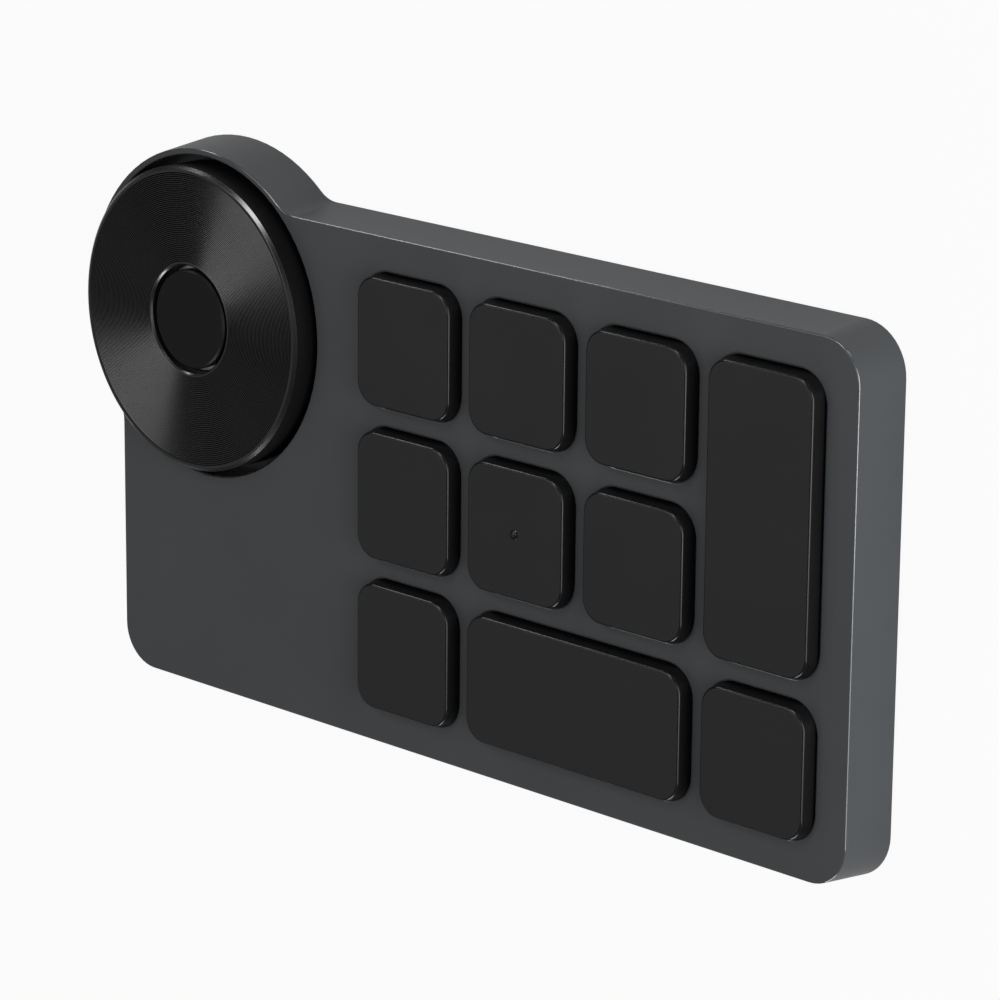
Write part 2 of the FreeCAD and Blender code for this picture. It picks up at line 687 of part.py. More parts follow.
def make_domes(name):
    """Hollow rubber dome at each of a key's cells."""
    domes = []
    for column, row in KEY_CELLS[name]:
        x, y = cell_centre(column, row)
        outer = [
            V(0, 0, BOARD_TOP_Z),
            V(DOME_R, 0, BOARD_TOP_Z),
            V(DOME_R, 0, BOARD_TOP_Z + DOME_FOOT_HIGH),
            V(DOME_TOP_R, 0, BOARD_TOP_Z + DOME_HIGH - DOME_FOOT_HIGH),
            V(DOME_TOP_R, 0, BOARD_TOP_Z + DOME_HIGH),
            V(0, 0, BOARD_TOP_Z + DOME_HIGH),
            V(0, 0, BOARD_TOP_Z),
        ]
        inner = [
            V(0, 0, BOARD_TOP_Z - OVERRUN),
            V(DOME_R - DOME_WALL, 0, BOARD_TOP_Z - OVERRUN),
            V(DOME_R - DOME_WALL, 0, BOARD_TOP_Z + DOME_FOOT_HIGH),
            V(DOME_TOP_R - DOME_WALL, 0, BOARD_TOP_Z + DOME_HIGH - 2 * DOME_FOOT_HIGH),
            V(0, 0, BOARD_TOP_Z + DOME_HIGH - 2 * DOME_FOOT_HIGH),
            V(0, 0, BOARD_TOP_Z - OVERRUN),
        ]
        dome = turned(outer, 0, 0).cut(turned(inner, 0, 0))
        dome.translate(V(x, y, 0))
        domes.append(dome)
    return Part.makeCompound(domes)


def turned(points, x, y):
    """Solid of revolution about the upright axis through (x, y); points hold radius and height."""
    profile = Part.Face(Part.makePolygon(points))
    solid = profile.revolve(V(0, 0, 0), V(0, 0, 1), 360)
    solid.translate(V(x, y, 0))
    return solid


def make_dial_cap():
    """Turned cap of the dial, with a bevelled edge and a central hole."""
    top = DIAL_TOP_Z
    points = [
        V(DIAL_HOLE_R, 0, DIAL_PLATE_LOW_Z),
        V(DIAL_R - DIAL_SKIRT_WALL, 0, DIAL_PLATE_LOW_Z),
        V(DIAL_R - DIAL_SKIRT_WALL, 0, DIAL_SKIRT_LOW_Z),
        V(DIAL_R, 0, DIAL_SKIRT_LOW_Z),
        V(DIAL_R, 0, top - DIAL_BEVEL_DROP),
        V(DIAL_FACE_R, 0, top),
        V(DIAL_HOLE_R + DIAL_HOLE_BEVEL, 0, top),
        V(DIAL_HOLE_R, 0, top - DIAL_HOLE_BEVEL),
        V(DIAL_HOLE_R, 0, DIAL_PLATE_LOW_Z),
    ]
    return turned(points, DIAL_X, DIAL_Y)


def make_dial_hub():
    """Carrier under the cap: disc, rim, notched ring and the sleeve that turns on the post."""
    disc_low = DIAL_PLATE_LOW_Z - HUB_DISC_THICK
    rim_r = DIAL_R - DIAL_SKIRT_WALL - HUB_GLUE_GAP
    sleeve_low = FLOOR_LOW_Z + MAGNET_FLOAT + MAGNET_HIGH
    hub = rod(DIAL_X, DIAL_Y, rim_r, disc_low, DIAL_PLATE_LOW_Z)
    hub = hub.fuse(ring(DIAL_X, DIAL_Y, rim_r, rim_r - HUB_RIM_WALL, disc_low - HUB_RIM_HIGH, disc_low))
    hub = hub.fuse(rod(DIAL_X, DIAL_Y, HUB_SLEEVE_R, sleeve_low, DIAL_PLATE_LOW_Z))
    index = ring(DIAL_X, DIAL_Y, INDEX_R, INDEX_R - INDEX_WALL, disc_low - INDEX_HIGH, disc_low)
    for number in range(INDEX_NOTCHES):
        x, y = around_dial(INDEX_R, SPRING_ANGLE + number * 360 / INDEX_NOTCHES)
        index = index.cut(rod(x, y, INDEX_NOTCH_R, disc_low - INDEX_HIGH - OVERRUN, disc_low))
    hub = hub.fuse(index)
    hub = hub.cut(rod(DIAL_X, DIAL_Y, HUB_SLEEVE_IN_R, sleeve_low - OVERRUN, DIAL_PLATE_LOW_Z + OVERRUN))
    pocket_low = DIAL_PLATE_LOW_Z - CLIP_POCKET_DEEP
    hub = hub.cut(rod(DIAL_X, DIAL_Y, CLIP_POCKET_R, pocket_low, DIAL_PLATE_LOW_Z + OVERRUN))
    return hub


def make_magnet_ring():
    low = FLOOR_LOW_Z + MAGNET_FLOAT
    return ring(DIAL_X, DIAL_Y, HUB_SLEEVE_R, POST_R + RUNNING_FIT, low, low + MAGNET_HIGH)


def make_dial_post():
    """Fixed hollow post: the dial turns around it and the button slides in it."""
    post = rod(DIAL_X, DIAL_Y, POST_R, BOARD_TOP_Z, POST_TOP_Z)
    post = post.fuse(rod(DIAL_X, DIAL_Y, POST_FLANGE_R, BOARD_TOP_Z, FLOOR_LOW_Z))
    post = post.cut(rod(DIAL_X, DIAL_Y, POST_BORE_R, BOARD_TOP_Z - OVERRUN, POST_NECK_LOW_Z))
    post = post.cut(rod(DIAL_X, DIAL_Y, STEM_R + STEM_FIT, BOARD_TOP_Z, POST_TOP_Z + OVERRUN))
    clip_top = POST_TOP_Z - CLIP_BELOW_TOP
    post = post.cut(ring(DIAL_X, DIAL_Y, POST_R + OVERRUN, CLIP_IN_R, clip_top - CLIP_THICK, clip_top))
    for angle in POST_SCREW_ANGLES:
        x, y = around_dial(POST_SCREW_RING_R, angle)
        post = post.cut(rod(x, y, POST_SCREW_HOLE_R, BOARD_TOP_Z - OVERRUN, FLOOR_LOW_Z + OVERRUN))
    for angle in SENSOR_ANGLES:
        low = BOARD_TOP_Z - OVERRUN
        window = sensor_block(angle, SENSOR_WINDOW_LONG, SENSOR_WINDOW_WIDE, low, FLOOR_LOW_Z)
        post = post.cut(window.cut(rod(DIAL_X, DIAL_Y, POST_R, low, FLOOR_LOW_Z + OVERRUN)))
    return post


def sensor_block(angle, long_out, wide, z_low, z_high):
    """Box that points away from the dial's axis."""
    block = box(-long_out / 2, long_out / 2, -wide / 2, wide / 2, z_low, z_high)
    block.translate(V(SENSOR_RING_R, 0, 0))
    block.rotate(V(0, 0, 0), V(0, 0, 1), angle)
    block.translate(V(DIAL_X, DIAL_Y, 0))
    return block


def make_hall_sensors():
    chips = []
    for angle in SENSOR_ANGLES:
        chips.append(sensor_block(angle, SENSOR_WIDE, SENSOR_WIDE, BOARD_TOP_Z, BOARD_TOP_Z + SENSOR_HIGH))
    return Part.makeCompound(chips)


def make_retaining_clip():
    """Spring clip in the post's groove, open on one side."""
    top = POST_TOP_Z - CLIP_BELOW_TOP
    low = top - CLIP_THICK
    clip = ring(DIAL_X, DIAL_Y, CLIP_R, CLIP_IN_R, low, top)
    half = CLIP_SLOT_WIDE / 2
    right = DIAL_X + CLIP_R + OVERRUN
    return clip.cut(box(DIAL_X, right, DIAL_Y - half, DIAL_Y + half, low - OVERRUN, top + OVERRUN))


def make_post_screws():
    screws = []
    for angle in POST_SCREW_ANGLES:
        x, y = around_dial(POST_SCREW_RING_R, angle)
        head = rod(x, y, POST_SCREW_HEAD_R, FLOOR_TOP_Z, FLOOR_TOP_Z + SCREW_HEAD_THICK)
        shank = rod(x, y, SCREW_R, BOARD_LOW_Z, FLOOR_TOP_Z)
        screws.append(head.fuse(shank))
    return Part.makeCompound(screws)


def make_index_spring():
    """Leaf spring on the recess floor with a nose at the notched ring."""
    nose_x = INDEX_R + SPRING_GAP + SPRING_NOSE_R
    leaf_in = nose_x + SPRING_NOSE_SUNK
    base_in = leaf_in + SPRING_LEAF_THICK + SPRING_FLEX_GAP
    low = FLOOR_TOP_Z
    high = low + SPRING_BASE_HIGH
    half = SPRING_BASE_LONG / 2
    far = base_in + SPRING_BASE_WIDE
    base = box(base_in, far, -half, half, low, low + SPRING_LEAF_LOW)
    leaf = box(leaf_in, leaf_in + SPRING_LEAF_THICK, -half, half, low + SPRING_LEAF_LOW, high)
    nose = rod(nose_x, 0, SPRING_NOSE_R, low + SPRING_LEAF_LOW, high)
    spring = leaf.fuse(nose)
    for y_low in (-half, half - SPRING_END_LONG):
        spring = spring.fuse(box(leaf_in, far, y_low, y_low + SPRING_END_LONG, low, high))
    spring = spring.fuse(base)
    spring.rotate(V(0, 0, 0), V(0, 0, 1), SPRING_ANGLE)
    spring.translate(V(DIAL_X, DIAL_Y, 0))
    return spring


def make_centre_button():
    """Button: head, stem, holding flange and tip."""
    head = rod(DIAL_X, DIAL_Y, BUTTON_R, BUTTON_HEAD_LOW_Z, BUTTON_TOP_Z)
    head = head.makeChamfer(BUTTON_EDGE, edges_at(head, BUTTON_TOP_Z))
    flange_top = POST_NECK_LOW_Z - BUTTON_FLANGE_GAP
    flange_low = flange_top - BUTTON_FLANGE_THICK
    stem = rod(DIAL_X, DIAL_Y, STEM_R, flange_low, BUTTON_HEAD_LOW_Z)
    flange = rod(DIAL_X, DIAL_Y, BUTTON_FLANGE_R, flange_low, flange_top)
    tip = rod(DIAL_X, DIAL_Y, BUTTON_TIP_R, BOARD_TOP_Z + BUTTON_TIP_LOW, flange_low)
    return head.fuse([stem, flange, tip]).removeSplitter()


def make_tact_switch():
    half = TACT_SIDE / 2
    top = BOARD_TOP_Z + TACT_HIGH
    body = box(DIAL_X - half, DIAL_X + half, DIAL_Y - half, DIAL_Y + half, BOARD_TOP_Z, top)
    return body.cut(rod(DIAL_X, DIAL_Y, TACT_HOLE_R, top - TACT_HOLE_DEEP, top + OVERRUN))


def make_tact_plunger():
    top = BOARD_TOP_Z + TACT_HIGH
    return rod(DIAL_X, DIAL_Y, TACT_PLUNGER_R, top - TACT_PLUNGER_SUNK, BOARD_TOP_Z + BUTTON_TIP_LOW)


def socket_front_x():
    return FACE_LEFT - flare_at(SOCKET_Z)


def make_usb_shell():
    front = socket_front_x()
    back = front + SOCKET_DEEP
    shell = oval_bar(SOCKET_Y, SOCKET_Z, SOCKET_WIDE, SOCKET_HIGH, front, back)
    inner_wide = SOCKET_WIDE - 2 * SOCKET_WALL
    inner_high = SOCKET_HIGH - 2 * SOCKET_WALL
    low = front - OVERRUN
    return shell.cut(oval_bar(SOCKET_Y, SOCKET_Z, inner_wide, inner_high, low, back + OVERRUN))


def make_usb_tongue():
    """Insulator that fills the socket's back and carries the contact tongue."""
    front = socket_front_x()
    back = front + SOCKET_DEEP
    inner_wide = SOCKET_WIDE - 2 * SOCKET_WALL
    inner_high = SOCKET_HIGH - 2 * SOCKET_WALL
    block = oval_bar(SOCKET_Y, SOCKET_Z, inner_wide, inner_high, back - SOCKET_BACK, back)
    half_y = TONGUE_WIDE / 2
    half_z = TONGUE_THICK / 2
    tongue = box(
        front + TONGUE_SHORT,
        back - SOCKET_BACK,
        SOCKET_Y - half_y,
        SOCKET_Y + half_y,
        SOCKET_Z - half_z,
        SOCKET_Z + half_z,
    )
    return block.fuse(tongue)


def make_slide_switch():
    """Switch body on the board, with a channel for the slider's tongue."""
    near = SIDE_WALL + SLIDE_GAP
    half = SWITCH_LONG / 2
    body = box(near, near + SWITCH_DEEP, -half, half, BOARD_TOP_Z, BOARD_TOP_Z + SWITCH_HIGH)
    reach = (SLIDE_TONGUE_LONG + SLIDE_TRAVEL) / 2 + SLIDE_GAP
    tall = SLIDE_TONGUE_HIGH / 2 + SLIDE_GAP / 2
    far = near + SLIDE_TONGUE_IN + SLIDE_GAP
    channel = box(near - OVERRUN, far, -reach, reach, SWITCH_Z - tall, SWITCH_Z + tall)
    return on_front(body.cut(channel))


def make_power_slider():
    """Knob in the side's slot with the tongue that works the switch, in its off position."""
    near = SIDE_WALL + SLIDE_GAP
    out = -flare_at(SWITCH_Z) - SLIDE_PROUD
    y = -SLIDE_TRAVEL / 2
    half = SLIDE_KNOB_LONG / 2
    high = SLIDE_KNOB_HIGH / 2
    knob = box(out, near - SLIDE_GAP, y - half, y + half, SWITCH_Z - high, SWITCH_Z + high)
    outer = [edge for edge in knob.Edges if abs(edge.BoundBox.XMax - out) < TINY]
    knob = knob.makeChamfer(SLIDE_KNOB_EDGE, outer)
    half = SLIDE_TONGUE_LONG / 2
    high = SLIDE_TONGUE_HIGH / 2
    far = near + SLIDE_TONGUE_IN
    tongue = box(near - SLIDE_GAP, far, y - half, y + half, SWITCH_Z - high, SWITCH_Z + high)
    return on_front(knob.fuse(tongue))


def make_battery_cell():
    left = BAY_LEFT + CELL_GAP
    right = BAY_RIGHT - CELL_GAP
    back = BAY_BACK - CELL_GAP
    long_x = right - left
    long_y = back - CELL_FRONT
    x = (left + right) / 2
    y = (CELL_FRONT + back) / 2
    return rounded_prism(x, y, long_x, long_y, CELL_CORNER_R, COVER_TOP_Z, COVER_TOP_Z + CELL_HIGH)


def make_board_chips():
    chips = []
    for name, down, long_x, long_y, high in CHIP_PARTS:
        x_low = CHIP_X - long_x / 2
        y_low = FACE_BACK - down - long_y / 2
        chips.append(box(x_low, x_low + long_x, y_low, y_low + long_y, BOARD_TOP_Z, BOARD_TOP_Z + high))
    return Part.makeCompound(chips)


def main():
    os.makedirs("parts", exist_ok=True)
    nodes = {
        "top_housing": make_top_housing(),
        "bottom_cover": make_bottom_cover(),
        "cover_screws": make_cover_screws(),
        "rubber_feet": make_rubber_feet(),
        "main_board": make_main_board(),
        "board_chips": make_board_chips(),
        "guide_plate": make_guide_plate(),
        "dial_cap": make_dial_cap(),
        "dial_hub": make_dial_hub(),
        "magnet_ring": make_magnet_ring(),
        "hall_sensors": make_hall_sensors(),
        "dial_post": make_dial_post(),
        "retaining_clip": make_retaining_clip(),
        "post_screws": make_post_screws(),
        "index_spring": make_index_spring(),
        "centre_button": make_centre_button(),
        "tact_switch": make_tact_switch(),
        "tact_plunger": make_tact_plunger(),
        "usb_shell": make_usb_shell(),
        "usb_tongue": make_usb_tongue(),
        "slide_switch": make_slide_switch(),
        "power_slider": make_power_slider(),
        "battery_cell": make_battery_cell(),
    }
    for name in KEY_CELLS:
        nodes["keycap_" + name] = make_keycap(name)
        nodes["dome_" + name] = make_domes(name)
    for name, shape in nodes.items():
        shape.exportStep("parts/" + name + ".step")


main()
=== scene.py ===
import json
import math

import bmesh
import bpy
from mathutils import Matrix, Vector
from mathutils.bvhtree import BVHTree


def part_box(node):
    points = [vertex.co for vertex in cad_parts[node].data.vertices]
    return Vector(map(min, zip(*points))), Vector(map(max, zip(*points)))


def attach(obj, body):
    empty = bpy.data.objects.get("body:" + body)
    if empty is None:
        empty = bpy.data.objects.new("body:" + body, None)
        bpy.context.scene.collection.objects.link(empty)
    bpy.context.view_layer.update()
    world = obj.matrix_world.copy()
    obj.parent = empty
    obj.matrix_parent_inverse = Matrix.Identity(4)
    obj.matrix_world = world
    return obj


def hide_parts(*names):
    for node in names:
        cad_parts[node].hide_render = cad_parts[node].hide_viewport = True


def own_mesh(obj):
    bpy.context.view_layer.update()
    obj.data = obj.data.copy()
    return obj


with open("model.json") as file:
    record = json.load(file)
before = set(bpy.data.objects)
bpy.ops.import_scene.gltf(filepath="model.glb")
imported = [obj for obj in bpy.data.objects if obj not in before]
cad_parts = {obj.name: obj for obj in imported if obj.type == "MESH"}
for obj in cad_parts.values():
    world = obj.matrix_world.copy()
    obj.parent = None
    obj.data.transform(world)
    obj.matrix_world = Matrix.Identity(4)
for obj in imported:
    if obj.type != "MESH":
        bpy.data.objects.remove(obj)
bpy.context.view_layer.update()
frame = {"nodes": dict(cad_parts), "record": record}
nodes = frame["nodes"]

MM = 0.001

# Materials

PATCH_DETAIL = 3.0
PATCH_DARK_AT = 0.3
PATCH_LIGHT_AT = 0.7
GRAIN_DETAIL = 2.0
SMOOTHEST = 0.04
COAT_COLOR = (0.039, 0.0425, 0.046)
# Near-black colour of painted shade, for the housing's inner faces and the walls of the keys and the dial
PAINTED_SHADE_COLOR = (0.003, 0.003, 0.0031)
MOULDED = {"grain": 5200, "bump": 0.10, "depth": 0.006}
POLISHED = {"grain": 5200, "bump": 0.05, "depth": 0.004}
DRAWN_STEEL = {"metallic": 1.0, "vary": 0.06, "grain": 3500, "bump": 0.1, "depth": 0.006}
LOOKS = {}


def link(tree, source, output, target, entry):
    """Links an output socket of one node to an input socket of another."""
    tree.links.new(source.outputs[output], target.inputs[entry])


def surface(name, color, rough, metallic=0.0, specular=0.5, vary=0.12, rough_vary=0.08,
            patch=90.0, grain=2600.0, bump=0.12, depth=0.02):
    """Adds a procedural surface to LOOKS: broad patches in colour, and a fine grain in roughness and relief.

    The relief's depth is in millimetres.
    """
    mat = bpy.data.materials.new(name)
    mat.use_nodes = True
    tree = mat.node_tree
    shader = tree.nodes["Principled BSDF"]
    shader.inputs["Metallic"].default_value = metallic
    shader.inputs["Specular IOR Level"].default_value = specular
    place = tree.nodes.new("ShaderNodeTexCoord")

    broad = tree.nodes.new("ShaderNodeTexNoise")
    broad.inputs["Scale"].default_value = patch
    broad.inputs["Detail"].default_value = PATCH_DETAIL
    link(tree, place, "Object", broad, "Vector")
    ramp = tree.nodes.new("ShaderNodeValToRGB")
    dark, light = ramp.color_ramp.elements
    dark.position = PATCH_DARK_AT
    light.position = PATCH_LIGHT_AT
    dark.color = [c * (1 - vary) for c in color] + [1]
    light.color = [c * (1 + vary) for c in color] + [1]
    link(tree, broad, "Fac", ramp, "Fac")
    link(tree, ramp, "Color", shader, "Base Color")

    fine = tree.nodes.new("ShaderNodeTexNoise")
    fine.inputs["Scale"].default_value = grain
    fine.inputs["Detail"].default_value = GRAIN_DETAIL
    link(tree, place, "Object", fine, "Vector")
    spread = tree.nodes.new("ShaderNodeMapRange")
    spread.inputs["To Min"].default_value = max(rough - rough_vary, SMOOTHEST)
    spread.inputs["To Max"].default_value = min(rough + rough_vary, 1.0)
    link(tree, fine, "Fac", spread, "Value")
    link(tree, spread, "Result", shader, "Roughness")
    relief = tree.nodes.new("ShaderNodeBump")
    relief.inputs["Strength"].default_value = bump
    relief.inputs["Distance"].default_value = depth * MM
    link(tree, fine, "Fac", relief, "Height")
    link(tree, relief, "Normal", shader, "Normal")
    LOOKS[name] = mat


surface("shell_coat", COAT_COLOR, 0.34, vary=0.04, rough_vary=0.05, **MOULDED)
surface("cover_plastic", (0.020, 0.021, 0.022), 0.55, grain=3200, bump=0.5, depth=0.03)
surface("key_plastic", (0.0125, 0.0125, 0.0127), 0.38, specular=0.3, vary=0.05, rough_vary=0.05, **MOULDED)
surface("dome_rubber", (0.60, 0.60, 0.58), 0.5, grain=1500, bump=0.15)
surface("foot_rubber", (0.014, 0.014, 0.014), 0.75, specular=0.3, grain=1800, bump=0.6, depth=0.05)
surface("dial_metal", (0.10, 0.10, 0.10), 0.22, metallic=1.0, vary=0.05, rough_vary=0.04,
        grain=6000, bump=0.06, depth=0.004)
surface("dial_plastic", (0.03, 0.03, 0.03), 0.5, bump=0.3)
surface("button_plastic", (0.0050, 0.0050, 0.0051), 0.40, specular=0.15, vary=0.05, **MOULDED)
surface("board_laminate", (0.02, 0.09, 0.05), 0.35, vary=0.2, patch=400, grain=900, bump=0.2)
surface("chip_resin", (0.03, 0.03, 0.03), 0.6, grain=4000, bump=0.4)
surface("frame_plastic", (0.05, 0.05, 0.05), 0.55, bump=0.3)
surface("steel", (0.60, 0.60, 0.60), 0.3, **DRAWN_STEEL)
surface("magnet", (0.08, 0.08, 0.08), 0.6, metallic=1.0, bump=0.5)
surface("socket_steel", (0.55, 0.55, 0.56), 0.24, **DRAWN_STEEL)
surface("pouch", (0.65, 0.66, 0.68), 0.35, metallic=1.0, vary=0.05, patch=150, grain=700, bump=0.4)
surface("coat_edge", COAT_COLOR, 0.12, specular=1.0, vary=0.04, rough_vary=0.03, **POLISHED)
# Painted shade: near-black material for the housing's faces inside the wells and the recess
surface("inside_painted_shade", PAINTED_SHADE_COLOR, 0.24, specular=0.45, vary=0.05, **MOULDED)
# Painted shade: a darker glossy copy of the key plastic for the rounded edge round each key's top
surface("key_rim_painted_shade", (0.005, 0.005, 0.0051), 0.2, specular=0.3, vary=0.05, rough_vary=0.04, **POLISHED)
# Painted shade: a near-black copy for the steep walls of the keys and the dial
surface("walls_painted_shade", PAINTED_SHADE_COLOR, 0.45, specular=0.14, vary=0.05, **MOULDED)
surface("contact_gold", (0.75, 0.55, 0.22), 0.28, metallic=1.0, vary=0.05, grain=4000, bump=0.1)


def dress(obj, mat):
    """Gives a whole object one material."""
    obj.data.materials.clear()
    obj.data.materials.append(mat)


for row in frame["record"]["subparts"]:
    dress(nodes[row["node"]], LOOKS[row["material_slot"]])

# Coat of the housing, with painted shade on its faces inside the wells and the recess

EDGE_BAND_AND_SHADE_DEPTH = 0.45
COAT_EDGE_STEEP = 0.2
COAT_EDGE_FLAT = 0.985
FACES_UP = 0.9
CLEAR_OF_FACE = 0.01
SHADE_INSIDE_SLOT = 1
COAT_EDGE_SLOT = 2


def coat_edges_and_shade_inside(obj):
    """Gives the leaning edges near the housing's top a glossier coat, and paints shade on its inner faces.

    Below the edge band, a face gets painted shade where it faces up or sees another face of the housing along
    its normal.
    """
    mesh = obj.data
    # The first added material is painted shade, near-black, for faces where shade falls inside the wells and
    # the recess
    mesh.materials.append(LOOKS["inside_painted_shade"])
    mesh.materials.append(LOOKS["coat_edge"])
    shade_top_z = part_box("top_housing")[1].z - EDGE_BAND_AND_SHADE_DEPTH * MM
    tree = BVHTree.FromPolygons([v.co for v in mesh.vertices], [p.vertices for p in mesh.polygons])
    for polygon in mesh.polygons:
        if polygon.center.z > shade_top_z:
            if COAT_EDGE_STEEP < polygon.normal.z < COAT_EDGE_FLAT:
                polygon.material_index = COAT_EDGE_SLOT
            continue
        start = polygon.center + polygon.normal * CLEAR_OF_FACE * MM
        # Painted shade: faces that look up or into another face of the housing, as in a recess, get the
        # near-black material
        if polygon.normal.z > FACES_UP or tree.ray_cast(start, polygon.normal)[0] is not None:
            polygon.material_index = SHADE_INSIDE_SLOT


coat_edges_and_shade_inside(nodes["top_housing"])

# Helpers for the pieces that the scene makes


def give_walls(obj, steep, mat):
    """Gives every face whose normal rises less than the given share another material."""
    obj.data.materials.append(mat)
    number = len(obj.data.materials) - 1
    for polygon in obj.data.polygons:
        if polygon.normal.z < steep:
            polygon.material_index = number


def sharpen(obj, angle):
    """Keeps edges sharper than an angle in degrees sharp under smooth shading."""
    obj.data.set_sharp_from_angle(angle=math.radians(angle))


def piece(name, bm, mat, body, smooth=True):
    """Turns a finished bmesh into an object of one material that rides on a body."""
    bmesh.ops.recalc_face_normals(bm, faces=bm.faces[:])
    mesh = bpy.data.meshes.new(name)
    bm.normal_update()
    bm.to_mesh(mesh)
    bm.free()
    obj = bpy.data.objects.new(name, mesh)
    bpy.context.scene.collection.objects.link(obj)
    dress(obj, mat)
    for polygon in mesh.polygons:
        polygon.use_smooth = smooth
    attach(obj, body)
    return obj


def bridge(bm, loops):
    """Closes the sides between loops of equal length, and both ends."""
    for lower, upper in zip(loops, loops[1:]):
        for step in range(len(lower)):
            follow = (step + 1) % len(lower)
            bm.faces.new((lower[step], lower[follow], upper[follow], upper[step]))
    bm.faces.new(loops[0])
    bm.faces.new(loops[-1])


def add_turned(bm, points, steps, x, y):
    """Adds a closed surface turned about an upright axis; points hold radius and height in millimetres."""
    rings = []
    for radius, height in points:
        ring = []
        for step in range(steps):
            turn = 2 * math.pi * step / steps
            spot = (x + radius * MM * math.cos(turn), y + radius * MM * math.sin(turn), height * MM)
            ring.append(bm.verts.new(spot))
        rings.append(ring)
    for number, ring in enumerate(rings):
        after = rings[(number + 1) % len(rings)]
        for step in range(steps):
            follow = (step + 1) % steps
            bm.faces.new((ring[step], ring[follow], after[follow], after[step]))


# Dial cap, with fine grooves round its face

dial_low, dial_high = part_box("dial_cap")
DIAL_X = (dial_low.x + dial_high.x) / 2
DIAL_Y = (dial_low.y + dial_high.y) / 2

DIAL_STEPS = 192
DIAL_SHARP = 10
DIAL_WALL_STEEP = 0.65
GROOVES = 47
GROOVE_FIRST_R = 7.35
GROOVE_LAST_R = 18.85
GROOVE_SIDE_DROP = 0.021
GROOVE_DEEP = 0.2
GROOVE_SHAPE = ((0.0, GROOVE_SIDE_DROP), (0.26, 0), (0.52, GROOVE_SIDE_DROP), (0.76, GROOVE_DEEP))
DIAL_R = 19.65
DIAL_FACE_R = 19.22
DIAL_TOP = 10.7
DIAL_BEVEL_DROP = 0.32
DIAL_HOLE_R = 6.98
DIAL_HOLE_BEVEL = 0.2
DIAL_UNDER = 9.5
DIAL_SKIRT_LOW = 5.5
DIAL_SKIRT_IN_R = 18.7
EDGE_SOFT = 0.015


def dial_profile():
    """Radius and height of the dial cap's section, in millimetres, from the hole outwards and back.

    Each pitch holds a low ridge and a pointed cut, given in GROOVE_SHAPE as share of the pitch and depth.
    """
    points = [
        (DIAL_HOLE_R, DIAL_UNDER),
        (DIAL_HOLE_R, DIAL_TOP - DIAL_HOLE_BEVEL - EDGE_SOFT),
        (DIAL_HOLE_R + EDGE_SOFT / 2, DIAL_TOP - DIAL_HOLE_BEVEL),
        (DIAL_HOLE_R + DIAL_HOLE_BEVEL, DIAL_TOP - EDGE_SOFT / 2),
        (DIAL_HOLE_R + DIAL_HOLE_BEVEL + EDGE_SOFT, DIAL_TOP),
    ]
    pitch = (GROOVE_LAST_R - GROOVE_FIRST_R) / GROOVES
    for number in range(GROOVES):
        start = GROOVE_FIRST_R + number * pitch
        for share, down in GROOVE_SHAPE:
            points.append((start + share * pitch, DIAL_TOP - down))
    points += [
        (GROOVE_LAST_R, DIAL_TOP - GROOVE_SIDE_DROP),
        (GROOVE_LAST_R + EDGE_SOFT, DIAL_TOP),
        (DIAL_FACE_R - EDGE_SOFT, DIAL_TOP),
        (DIAL_FACE_R + EDGE_SOFT, DIAL_TOP - EDGE_SOFT / 2),
        (DIAL_R - EDGE_SOFT, DIAL_TOP - DIAL_BEVEL_DROP + EDGE_SOFT / 2),
        (DIAL_R, DIAL_TOP - DIAL_BEVEL_DROP - EDGE_SOFT),
        (DIAL_R, DIAL_SKIRT_LOW + EDGE_SOFT),
        (DIAL_R - EDGE_SOFT, DIAL_SKIRT_LOW),
        (DIAL_SKIRT_IN_R, DIAL_SKIRT_LOW),
        (DIAL_SKIRT_IN_R, DIAL_UNDER),
    ]
    return points


def make_dial():
    """The dial's turned cap with its grooves."""
    bm = bmesh.new()
    add_turned(bm, dial_profile(), DIAL_STEPS, DIAL_X, DIAL_Y)
    cap = piece("dial_cap_grooved", bm, LOOKS["dial_metal"], "dial")
    sharpen(cap, DIAL_SHARP)
    # Painted shade: the dial's steep walls get the near-black material in place of the metal
    give_walls(cap, DIAL_WALL_STEEP, LOOKS["walls_painted_shade"])
    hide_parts("dial_cap")


make_dial()

# Keys, with a soft edge round the top; they fill their wells a little more than the solids do

KEY_TOP_Z = 9.85
KEY_LOW_Z = 6.1
KEY_GROW = 0.2
KEY_CORNER_R = 2.8
KEY_CORNER_SHARE = 0.2
KEY_WALL_LEAN = 0.15
KEY_WALL_HIGH = 1.7
KEY_EDGE_ROUND = 0.3
KEY_FLAT_RIM = 0.05
KEY_FLANGE_OUT = 0.8
KEY_FLANGE_THICK = 0.5
KEY_TOP_WALL = 1.3
KEY_SKIRT_WALL = 1.1
KEY_PITCH_X = 19.05
KEY_PITCH_Y = 19.5
KEY_STEM_R = 3.5
KEY_STEM_BORE_R = 2.9
KEY_STEM_LOW_Z = 4.9
KEY_PUSHER_R = 1.4
KEY_PUSHER_BORE_R = 0.6
KEY_RIM_STEEP = 0.97
KEY_WALL_STEEP = 0.5
NIB_KEY = "k6"
NIB_R = 0.65
NIB_HIGH = 0.25
EDGE_STEPS = 6
CORNER_STEPS = 10
STEM_STEPS = 32
SHARP = 35


def rounded_loop(bm, middle, half, radius, z):
    """Points of a level rectangle with round corners, from measures in millimetres."""
    loop = []
    for quarter, (side_x, side_y) in enumerate(((1, 1), (-1, 1), (-1, -1), (1, -1))):
        corner_x = middle[0] + side_x * (half[0] - radius)
        corner_y = middle[1] + side_y * (half[1] - radius)
        for step in range(CORNER_STEPS + 1):
            turn = (quarter + step / CORNER_STEPS) * math.pi / 2
            x = corner_x + radius * math.cos(turn)
            y = corner_y + radius * math.sin(turn)
            loop.append(bm.verts.new((x * MM, y * MM, z * MM)))
    return loop


